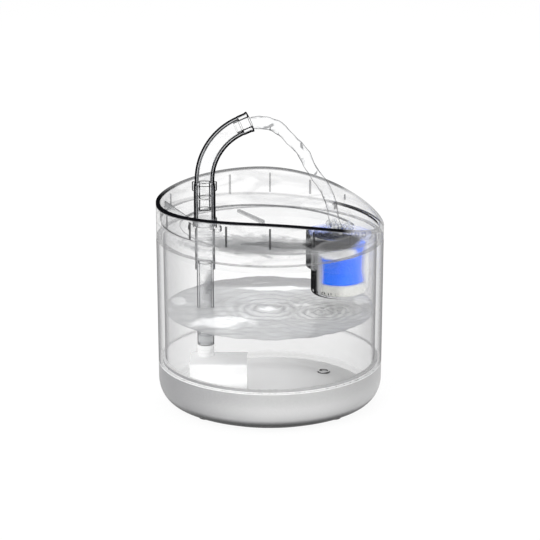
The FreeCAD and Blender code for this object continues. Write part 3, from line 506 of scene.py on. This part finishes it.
def trayMaterial(name, look):
    material, tree, place, shader, _ = newMaterial(name)
    marks = useGroup(tree, smearGroup, {"Place": place})
    grain = useGroup(tree, grainGroup, {"Place": place, **clearCommon["grain"]})
    axes = axesOf(tree, place)
    reach = useGroup(tree, reachGroup, {"Place": place})
    # Spots of painted shade and dark reflection, and painted dark reflection at the edges
    paintedSpots = times(tree, spotMask(tree, place, look["paintedSpots"]), above(tree, axes, seamHeight))
    dark = calc(tree, "MAXIMUM", edgeMask(tree, look["start"], look["full"]), paintedSpots)
    if look["rimLine"]:
        rim = useGroup(tree, rimGroup, {"Place": place, "Depth": look["rimLine"]})["Line"]
        # The rim's painted dark line is black in front, and greyer behind and at the right
        near = times(tree, mapped(tree, axes["Y"], *trayLines["rimBack"]),
                     mapped(tree, axes["X"], *trayLines["rimRight"]))
        dark = withLine(tree, dark, rim, near)
    # Painted dark lines on the flutes inside the wall
    if look["flute"]:
        dark = withLine(tree, dark, reach["Flute"], look["flute"])
    # A painted dark line in the floor's crease, stronger to the right and behind
    if look["crease"]:
        crease = useGroup(tree, levelGroup, {"Place": place, "Slope": floorSlope,
                                             "Height": seamHeight + floorRise + trayLines["creaseRise"],
                                             "Width": trayLines["creaseWidth"]})["Line"]
        strong = times(tree, mapped(tree, axes["X"], *trayLines["creaseRight"]),
                       mapped(tree, axes["Y"], *trayLines["creaseBack"]))
        strength = plus(tree, times(tree, strong, trayLines["creaseMost"] - look["crease"]), look["crease"])
        dark = withLine(tree, dark, crease, strength)
    if look["seam"]:
        seam = useGroup(tree, levelGroup, {"Place": place, "Height": seamHeight + trayLines["seamRise"],
                                           "Width": trayLines["seamWidth"]})["Line"]
        dark = withLine(tree, dark, seam, look["seam"])
    # Painted dark lines on the floor's ring and on what stands on the floor
    if look["ring"]:
        behind = mapped(tree, axes["Y"], *trayLines["ringBack"])
        dark = withLine(tree, dark, times(tree, reach["Ring"], behind), look["ring"])
        dark = withLine(tree, dark, reach["Rib"], look["rib"])
    # With a haze of painted dark reflection streaks
    feedClear(tree, shader, look, dark, times(tree, marks["Smear"], look["reflectionHaze"]), grain)
    return material


# The pan is frosted: its skin is nearly opaque from outside, its inner wall lets the light behind through
def frostedMaterial(name):
    material, tree, place, shader, _ = newMaterial(name)
    grain = useGroup(tree, grainGroup, {"Place": place, "Scale": 1400.0, "Slow": 14.0})
    axes = axesOf(tree, place)
    # Painted shade and light: the skin is dark at the left and near the ground, lit in the middle and right,
    # and paler low down
    sides = times(tree, mapped(tree, axes["X"], *pan["leftLit"]), mapped(tree, axes["X"], *pan["rightLit"]))
    lit = times(tree, sides, mapped(tree, axes["Z"], *pan["heightLit"]))
    low = mapped(tree, axes["Z"], *pan["lowLit"])
    bright = blended(tree, low, opaque(pan["light"]), opaque(pan["lightLow"]))
    colour = blended(tree, lit, opaque(pan["dark"]), bright)
    # The inner wall and the inner floor are lit copies of the same plastic, painted light, the floor lit at
    # the left and shaded at the right
    facing = axesOf(tree, put(tree, "ShaderNodeTexCoord").outputs["Normal"])
    outward = plus(tree, times(tree, facing["X"], axes["X"]), times(tree, facing["Y"], axes["Y"]))
    up = mapped(tree, facing["Z"], *pan["upward"])
    inward = mapped(tree, outward, *pan["inward"])
    ground = blended(tree, mapped(tree, axes["X"], *pan["ground"]), opaque(pan["floorLit"]),
                     opaque(pan["floorShaded"]))
    colour = blended(tree, up, blended(tree, inward, colour, opaque(pan["inside"])), ground)
    # A painted highlight along the pan's top edge
    line = useGroup(tree, levelGroup, {"Place": place, "Height": panLine, "Width": pan["highlightWidth"]})["Line"]
    colour = blended(tree, line, colour, opaque(pan["line"]))
    # A painted shadow, black near the ground on all but the upward faces
    foot = times(tree, mapped(tree, axes["Z"], *pan["footDark"]), minus(tree, 1.0, up))
    colour = blended(tree, foot, colour, opaque(pan["foot"]))
    speck = blended(tree, mapped(tree, grain["Grain"], *pan["speckle"]), colour, opaque(pan["speck"]))
    alpha = minus(tree, pan["alpha"], times(tree, inward, pan["alpha"] - pan["insideAlpha"]))
    behind = put(tree, "ShaderNodeNewGeometry").outputs["Backfacing"]
    alpha = times(tree, alpha, minus(tree, 1.0, times(tree, behind, pan["backCut"])))
    feed(tree, shader, Base_Color=speck, Roughness=mapped(tree, grain["Grain"], *pan["rough"]), Alpha=alpha,
         Specular_IOR_Level=pan["gloss"], Normal=bumped(tree, grain["Grain"], pan["bump"], pan["bumpDepth"]))
    return material


def solidMaterial(name, look):
    material, tree, place, shader, _ = newMaterial(name)
    grain = useGroup(tree, grainGroup, {"Place": place, "Scale": 900.0, "Slow": 60.0})
    first, second = look["tones"]
    mix = blended(tree, mapped(tree, grain["Shade"], *look["shade"]), opaque(first), opaque(second))
    height = grain["Grain"]
    bands = look["bands"]
    if bands:
        wave = put(tree, "ShaderNodeTexWave", {"Vector": place, "Scale": bands["scale"], "Distortion": 0.3},
                   bands_direction=bands["axis"])
        height = wave.outputs["Fac"]
        mix = blended(tree, times(tree, height, look["bandShare"]), mix, opaque(bands["colour"]))
    rough = mapped(tree, grain["Grain"], look["roughFrom"], look["roughTo"], *look["rough"])
    feed(tree, shader, Base_Color=mix, Roughness=rough, Metallic=look["metallic"],
         Normal=bumped(tree, height, look["bump"], look["bumpDepth"]))
    return material


def porousMaterial(name, look):
    material, tree, place, shader, _ = newMaterial(name)
    pores = put(tree, "ShaderNodeTexVoronoi", {"Vector": place, "Scale": 1.0 / look["cell"]})
    depth = mapped(tree, pores.outputs["Distance"], *porous["wall"])
    grain = useGroup(tree, grainGroup, {"Place": place, "Scale": 0.8 / look["cell"], "Slow": 40.0})
    base = blended(tree, mapped(tree, grain["Shade"], *porous["patch"]), opaque(look["colour"]),
                   opaque(look["deep"]))
    # The pores are darker, painted shade in the holes; the patches above are a random tone
    mix = blended(tree, mapped(tree, depth, *porous["poreShade"]), base, opaque(look["deep"]))
    feed(tree, shader, Base_Color=mix, Roughness=look["rough"], Specular_IOR_Level=0.1,
         Normal=bumped(tree, depth, porous["bump"], porous["bumpDepth"]))
    # Light that is scattered inside the foam
    feed(tree, shader, Emission_Color=opaque(look["colour"]), Emission_Strength=look["glow"])
    return material


# Clear water with painted highlights in pale swirls, and painted dark reflections in lumps and at the edges
def waterMaterial(name):
    look = {**plainWater, **waterLooks[name]}
    material, tree, place, shader, _ = newMaterial(name)
    swirl = put(tree, "ShaderNodeTexNoise", {"Vector": place, "Scale": 55.0, "Detail": 1.5,
                                             "Distortion": 2.0})
    paleHighlight = mapped(tree, swirl.outputs["Fac"], *look["paleHighlight"])
    lump = times(tree, mapped(tree, swirl.outputs["Fac"], *look["lump"]), look["paintedDarkLumps"])
    dark = calc(tree, "MAXIMUM", edgeMask(tree, look["start"], look["full"]), lump)
    mix = blended(tree, paleHighlight, opaque(look["bright"]), opaque(look["colour"]))
    mix = blended(tree, dark, mix, opaque(look["edge"]))
    total = calc(tree, "ADD", times(tree, dark, look["edgeAlpha"] - look["alpha"]), look["alpha"], clamp=True)
    shine = times(tree, calc(tree, "SUBTRACT", 1.0, dark, clamp=True), look["gloss"])
    feed(tree, shader, Base_Color=mix, Alpha=total, Roughness=look["rough"], IOR=1.33,
         Specular_IOR_Level=shine,
         Normal=bumped(tree, swirl.outputs["Fac"], look["bump"], look["bumpDepth"]))
    return material


# A grey sheet of painted reflections, with a dark far band, pale ragged patches of painted highlight and
# rings of waves in painted light and shade
def poolMaterial(name):
    material, tree, place, shader, _ = newMaterial(name)
    axes = axesOf(tree, place)
    flat = put(tree, "ShaderNodeMapping", {"Vector": place, "Scale": (1.0, 3.0, 1.0)})
    swirl = put(tree, "ShaderNodeTexNoise", {"Vector": flat.outputs[0], "Scale": 22.0, "Detail": 3.0,
                                             "Distortion": 1.5})
    shade = mapped(tree, swirl.outputs["Fac"], *water["shading"])
    mix = blended(tree, shade, opaque(water["colour"]), opaque(water["shade"]))
    # Rings of waves in painted light and shade: shaded troughs and lit crests
    for centre, wave, fade in water["waves"]:
        rings = useGroup(tree, waveGroup, {"Place": place, "Centre": inMetres(centre), "Wave": wave,
                                           "Fade": fade})
        tone = blended(tree, rings["Height"], opaque(water["trough"]), opaque(water["crest"]))
        mix = blended(tree, times(tree, rings["Fall"], water["waveShare"]), mix, tone)
    # A painted dark band at the back
    mix = blended(tree, mapped(tree, axes["Y"], *water["backBand"]), mix, opaque(water["back"]))
    # Patches of painted highlight
    mix = blended(tree, spotMask(tree, place, water["paleHighlight"], scale=38.0), mix, opaque(water["bright"]))
    feed(tree, shader, Base_Color=mix, Alpha=water["alpha"], Roughness=0.12, IOR=1.33, Specular_IOR_Level=0.2,
         Normal=bumped(tree, swirl.outputs["Fac"], water["bump"], water["bumpDepth"]))
    return material


materials = {name: clearMaterial(name, {**plainClear, **look}) for name, look in clearLooks.items()}
materials.update({name: trayMaterial(name, look) for name, look in trayLooks.items()})
materials.update({name: solidMaterial(name, {**solidCommon, **look}) for name, look in solidLooks.items()})
materials["panFrosted"] = frostedMaterial("panFrosted")
for name, node in nodeObjects.items():
    for slot in node.material_slots:
        slot.material = materials[nodeLooks.get(name, "pumpWhite")]
print("materials", len(bpy.data.materials))


def meshObject(name, bm, material, smooth=True):
    bmesh.ops.recalc_face_normals(bm, faces=bm.faces)
    mesh = bpy.data.meshes.new(name)
    bm.to_mesh(mesh)
    bm.free()
    for face in mesh.polygons:
        face.use_smooth = smooth
    mesh.materials.append(material)
    thing = bpy.data.objects.new(name, mesh)
    bpy.context.scene.collection.objects.link(thing)
    return thing


# A closed skin over rings of points, each ring the same length
def loft(rows, capEnd=True):
    bm = bmesh.new()
    rings = [[bm.verts.new(point) for point in row] for row in rows]
    count = len(rings[0])
    for first, second in zip(rings, rings[1:]):
        for k in range(count):
            following = (k + 1) % count
            bm.faces.new((first[k], first[following], second[following], second[k]))
    bm.faces.new(rings[0][::-1])
    if capEnd:
        bm.faces.new(rings[-1])
    return bm


# Radius and height up the outside of a round pad: rounded edge, wall, rounded edge
def padProfile(low, high, radius, roundness):
    steps = discSteps["edge"]
    bend = [math.sin(math.pi / 2 * step / steps) for step in range(steps + 1)]
    rise = [math.cos(math.pi / 2 * step / steps) for step in range(steps + 1)]
    straight = high - low - 2 * roundness
    levels = max(discSteps["leastLevels"], int(straight / discSteps["levelHeight"]))
    bottom = [(radius - roundness * (1 - s), low + roundness * (1 - c)) for s, c in zip(bend, rise)]
    wall = [(radius, low + roundness + straight * step / levels) for step in range(1, levels)]
    top = [(radius - roundness * (1 - c), high - roundness * (1 - s)) for s, c in zip(bend, rise)]
    return bottom + wall + top


# A round pad with softened edges and an open-cell surface, filling a node's box
def softDisc(name, node, settings, material):
    low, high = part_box(node)
    middle = (low + high) / 2
    radius = (high.x - low.x) / 2
    parts = discSteps["face"]
    inner = [(radius * k / parts, low.z) for k in range(1, parts - 1)]
    outer = [(radius * k / parts, high.z) for k in range(parts - 2, 0, -1)]
    rows = []
    for ringRadius, height in inner + padProfile(low.z, high.z, radius, settings["round"]) + outer:
        row = []
        for k in range(discSteps["around"]):
            turn = 2 * math.pi * k / discSteps["around"]
            c, s = math.cos(turn), math.sin(turn)
            point = Vector((middle.x + ringRadius * c, middle.y + ringRadius * s, height))
            dent = max(0.0, noise.noise(point / settings["cell"]) + discSteps["bias"]) * settings["depth"]
            point -= Vector((c, s, 0)) * dent * (ringRadius / radius)
            if height > middle.z:
                point.z -= dent * discSteps["topDent"] + settings["sag"] * max(0.0, 1 - ringRadius / radius)
            row.append(point)
        rows.append(row)
    piece = meshObject(name, loft(rows), material)
    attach(piece, "filter")
    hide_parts(node)
    return piece


foamPiece = softDisc("foam_block", "blue_foam", foam, porousMaterial("foamBlue", foam))
padPiece = softDisc("pad_disc", "white_pad", pad, porousMaterial("padWhite", pad))


# A thin upright sponge sheet across X, with rounded corners and an open-cell skin
def softSheet(name, node, settings, material):
    low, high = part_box(node)
    middle = (low + high) / 2
    half = (high - low) / 2
    rows = []
    for step in range(sheetSteps["edge"] + 1):
        lean = math.pi * (step / sheetSteps["edge"] - 0.5)
        inset = settings["round"] * (1 - math.cos(lean))
        row = []
        for k in range(sheetSteps["around"]):
            turn = 2 * math.pi * (k + 0.5) / sheetSteps["around"]
            c, s = math.cos(turn), math.sin(turn)
            y = (half.y - inset) * math.copysign(abs(c) ** settings["corner"], c)
            z = (half.z - inset) * math.copysign(abs(s) ** settings["corner"], s)
            point = Vector((middle.x + half.x * math.sin(lean), middle.y + y, middle.z + z))
            dent = max(0.0, noise.noise(point / settings["dent"]) + sheetSteps["bias"]) * settings["depth"]
            row.append(point - (point - middle).normalized() * dent)
        rows.append(row)
    piece = meshObject(name, loft(rows), material)
    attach(piece, "intake")
    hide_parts(node)
    return piece


spongePiece = softSheet("sponge_sheet", "intake_sponge", sponge, porousMaterial("spongeDark", sponge))
print("soft pieces done")


# An open sheet of rings and spokes, with its height given at each place
def disc(name, settings, heightAt, material):
    turns = [2 * math.pi * k / settings["spokes"] for k in range(settings["spokes"])]
    rows = []
    for ring in range(1, settings["rings"] + 1):
        r = settings["radius"] * ring / settings["rings"]
        rows.append([Vector((r * math.cos(turn), r * math.sin(turn), 0)) for turn in turns])
    for row in rows:
        for point in row:
            point.z = heightAt(point.x, point.y)
    return meshObject(name, loft(rows, capEnd=False), material)


def unevenness(x, y, height, alongX, alongY, layer):
    return height * noise.noise(Vector((x / alongX, y / alongY, layer)))


def poolHeight(x, y):
    total = 0.0
    for centreX, centreY, height, wave in water["swells"]:
        away = math.hypot(x - centreX, y - centreY)
        total += height * math.cos(2 * math.pi * away / wave) * math.exp(-away / water["swellFade"])
    for row in water["uneven"]:
        total += unevenness(x, y, *row)
    return water["level"] + water["ripple"] * total


def filmHeight(x, y):
    total = unevenness(x, y, *film["uneven"])
    away = math.hypot(x - film["landing"], y)
    total += math.cos(2 * math.pi * away / film["wave"]) * math.exp(-away / film["fade"])
    return seamHeight + floorRise - x * floorSlope + film["lift"] + film["ripple"] * total


pool = disc("pool_surface", water, poolHeight, poolMaterial("poolWater"))
floorFilm = disc("tray_film", film, filmHeight, waterMaterial("filmWater"))


# A smooth curve through four values, from the second to the third
def between(before, a, b, after, part):
    return 0.5 * (2 * a + (b - before) * part + (2 * before - 5 * a + 4 * b - after) * part ** 2
                  + (3 * a - before - 3 * b + after) * part ** 3)


def streamMesh():
    line = stream["line"]
    rows = []
    for step in range(stream["along"]):
        share = step / (stream["along"] - 1) * (len(line) - 1)
        index = min(int(share), len(line) - 2)
        a, b = line[index], line[index + 1]
        before, after = line[max(index - 1, 0)], line[min(index + 2, len(line) - 1)]
        x, z, size = (between(*four, share - index) for four in zip(before, a, b, after))
        way = Vector((b[0] - a[0], 0, b[1] - a[1])).normalized()
        across = Vector((way.z, 0, -way.x))
        centre = Vector((x, 0, z)) * mm
        row = []
        for k in range(stream["around"]):
            turn = 2 * math.pi * k / stream["around"]
            swing = turn + share * stream["lumpTurn"]
            wide = stream["lumpSize"]
            spot = (math.cos(swing) * wide, math.sin(swing) * wide, share * stream["twist"])
            lump = noise.noise(Vector(spot))
            lobe = stream["lobe"] * math.cos(stream["lobes"] * turn + share * stream["lobeTurn"])
            radius = size * mm * (stream["core"] + lobe) + stream["lump"] * lump
            sideways = Vector((0, radius * math.sin(turn) * stream["flat"], 0))
            row.append(centre + across * radius * math.cos(turn) + sideways)
        rows.append(row)
    return loft(rows)


streamPiece = meshObject("water_stream", streamMesh(), waterMaterial("streamWater"))


# Splash drops on the drain cover: spheres of random size on points scattered over a disc
def dropNodes(material):
    group = bpy.data.node_groups.new("splashDrops", "GeometryNodeTree")
    floats = {"Spread": drops["spread"], "Density": drops["count"] / (math.pi * drops["spread"] ** 2),
              "Small": drops["small"], "Large": drops["large"]}
    for label, value in floats.items():
        group.interface.new_socket(label, in_out="INPUT", socket_type="NodeSocketFloat").default_value = value
    surface = seamHeight + floorRise - drops["x"] * floorSlope
    for label in ("Low", "High"):
        socket = group.interface.new_socket(label, in_out="INPUT", socket_type="NodeSocketVector")
        socket.default_value = (drops["x"], 0.0, surface + drops[label.lower()])
    seed = group.interface.new_socket("Seed", in_out="INPUT", socket_type="NodeSocketInt")
    seed.default_value = drops["seed"]
    group.interface.new_socket("Geometry", in_out="OUTPUT", socket_type="NodeSocketGeometry")
    given = group.nodes.new("NodeGroupInput").outputs
    ground = put(group, "GeometryNodeMeshCircle", {"Radius": given["Spread"]}, fill_type="NGON")
    points = put(group, "GeometryNodeDistributePointsOnFaces", {"Mesh": ground.outputs[0],
                                                                "Seed": given["Seed"],
                                                                "Density": given["Density"]})
    lift = put(group, "FunctionNodeRandomValue", {0: given["Low"], 1: given["High"], "Seed": given["Seed"]},
               data_type="FLOAT_VECTOR")
    placed = put(group, "GeometryNodeSetPosition", {"Geometry": points.outputs["Points"],
                                                    "Offset": lift.outputs[0]})
    size = put(group, "FunctionNodeRandomValue", {2: given["Small"], 3: given["Large"],
                                                  "Seed": given["Seed"]}, data_type="FLOAT")
    ball = put(group, "GeometryNodeMeshIcoSphere", {"Radius": 1.0, "Subdivisions": 3})
    made = put(group, "GeometryNodeInstanceOnPoints", {"Points": placed.outputs[0],
                                                       "Instance": ball.outputs[0],
                                                       "Scale": size.outputs[1]})
    solid = put(group, "GeometryNodeRealizeInstances", {"Geometry": made.outputs[0]})
    smooth = put(group, "GeometryNodeSetShadeSmooth", {"Geometry": solid.outputs[0]})
    last = put(group, "GeometryNodeSetMaterial", {"Geometry": smooth.outputs[0], "Material": material})
    group.links.new(last.outputs[0], group.nodes.new("NodeGroupOutput").inputs[0])
    return group


def grown(name, group):
    seed = bpy.data.objects.new(name + "_seed", bpy.data.meshes.new(name + "_seed"))
    bpy.context.scene.collection.objects.link(seed)
    seed.modifiers.new("made", "NODES").node_group = group
    mesh = bpy.data.meshes.new_from_object(seed.evaluated_get(bpy.context.evaluated_depsgraph_get()))
    bpy.data.objects.remove(seed)
    mesh.name = name
    thing = bpy.data.objects.new(name, mesh)
    bpy.context.scene.collection.objects.link(thing)
    return thing


splash = grown("splash_drops", dropNodes(waterMaterial("dropWater")))
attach(pool, "base")
for piece in (floorFilm, splash):
    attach(piece, "tray")
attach(streamPiece, "spout")
print("water done")


# A pale floor that shows as white to the camera and still takes a soft shadow
def floorPlane():
    half = floorLook["half"]
    bm = bmesh.new()
    corners = ((-half, -half), (half, -half), (half, half), (-half, half))
    bm.faces.new([bm.verts.new((x, y, -floorLook["drop"])) for x, y in corners])
    material, tree, place, shader, out = newMaterial("studioFloor")
    grain = useGroup(tree, grainGroup, {"Place": place, "Scale": 40.0, "Slow": 3.0})
    shade = blended(tree, mapped(tree, grain["Shade"], *floorLook["shading"]), opaque(floorLook["colour"]),
                    opaque(floorLook["shade"]))
    feed(tree, shader, Base_Color=shade, Roughness=0.9, Specular_IOR_Level=0.1)
    glow = put(tree, "ShaderNodeEmission", {"Color": (1, 1, 1, 1), "Strength": 1.0})
    rays = put(tree, "ShaderNodeLightPath").outputs
    through = calc(tree, "MAXIMUM", rays["Is Glossy Ray"], rays["Is Transmission Ray"])
    seen = times(tree, calc(tree, "MAXIMUM", rays["Is Camera Ray"], through), floorLook["glow"])
    mix = put(tree, "ShaderNodeMixShader", {0: seen, 1: shader.outputs[0], 2: glow.outputs[0]})
    tree.links.new(mix.outputs[0], out.inputs["Surface"])
    plane = meshObject("studio_floor", bm, material, smooth=False)


# White all round, a little dimmer as a light than as a background
def studioWorld():
    world = bpy.data.worlds.new("studio")
    bpy.context.scene.world = world
    world.use_nodes = True
    tree = world.node_tree
    tree.nodes.clear()
    rays = put(tree, "ShaderNodeLightPath")
    strength = mapped(tree, rays.outputs["Is Camera Ray"], 0.0, 1.0, lights["world"], 1.0)
    background = put(tree, "ShaderNodeBackground", {"Color": (1, 1, 1, 1), "Strength": strength})
    put(tree, "ShaderNodeOutputWorld", {"Surface": background.outputs[0]})


def aimed(thing, target):
    thing.rotation_euler = (Vector(target) - thing.location).to_track_quat("-Z", "Y").to_euler()
    bpy.context.scene.collection.objects.link(thing)


def lamp(name, setup):
    data = bpy.data.lights.new(name, "AREA")
    data.energy = setup["watts"]
    data.size = setup["size"]
    thing = bpy.data.objects.new(name, data)
    thing.location = setup["place"]
    aimed(thing, lights["target"])


def photoCamera():
    lens = bpy.data.cameras.new("view")
    lens.angle = math.radians(camera["fieldOfView"])
    lens.clip_start = camera["clipStart"]
    eye = bpy.data.objects.new("view", lens)
    rise = math.radians(camera["elevation"])
    back = Vector((0, -math.cos(rise), math.sin(rise)))
    eye.location = Vector(camera["target"]) + back * camera["distance"]
    aimed(eye, camera["target"])
    bpy.context.scene.camera = eye


floorPlane()
studioWorld()
for name in ("key", "fill", "rim"):
    lamp(name, lights[name])
photoCamera()
bpy.context.scene.view_settings.view_transform = "Standard"
bpy.context.scene.cycles.transparent_max_bounces = 48
bpy.context.scene.cycles.max_bounces = 10
print("studio done")
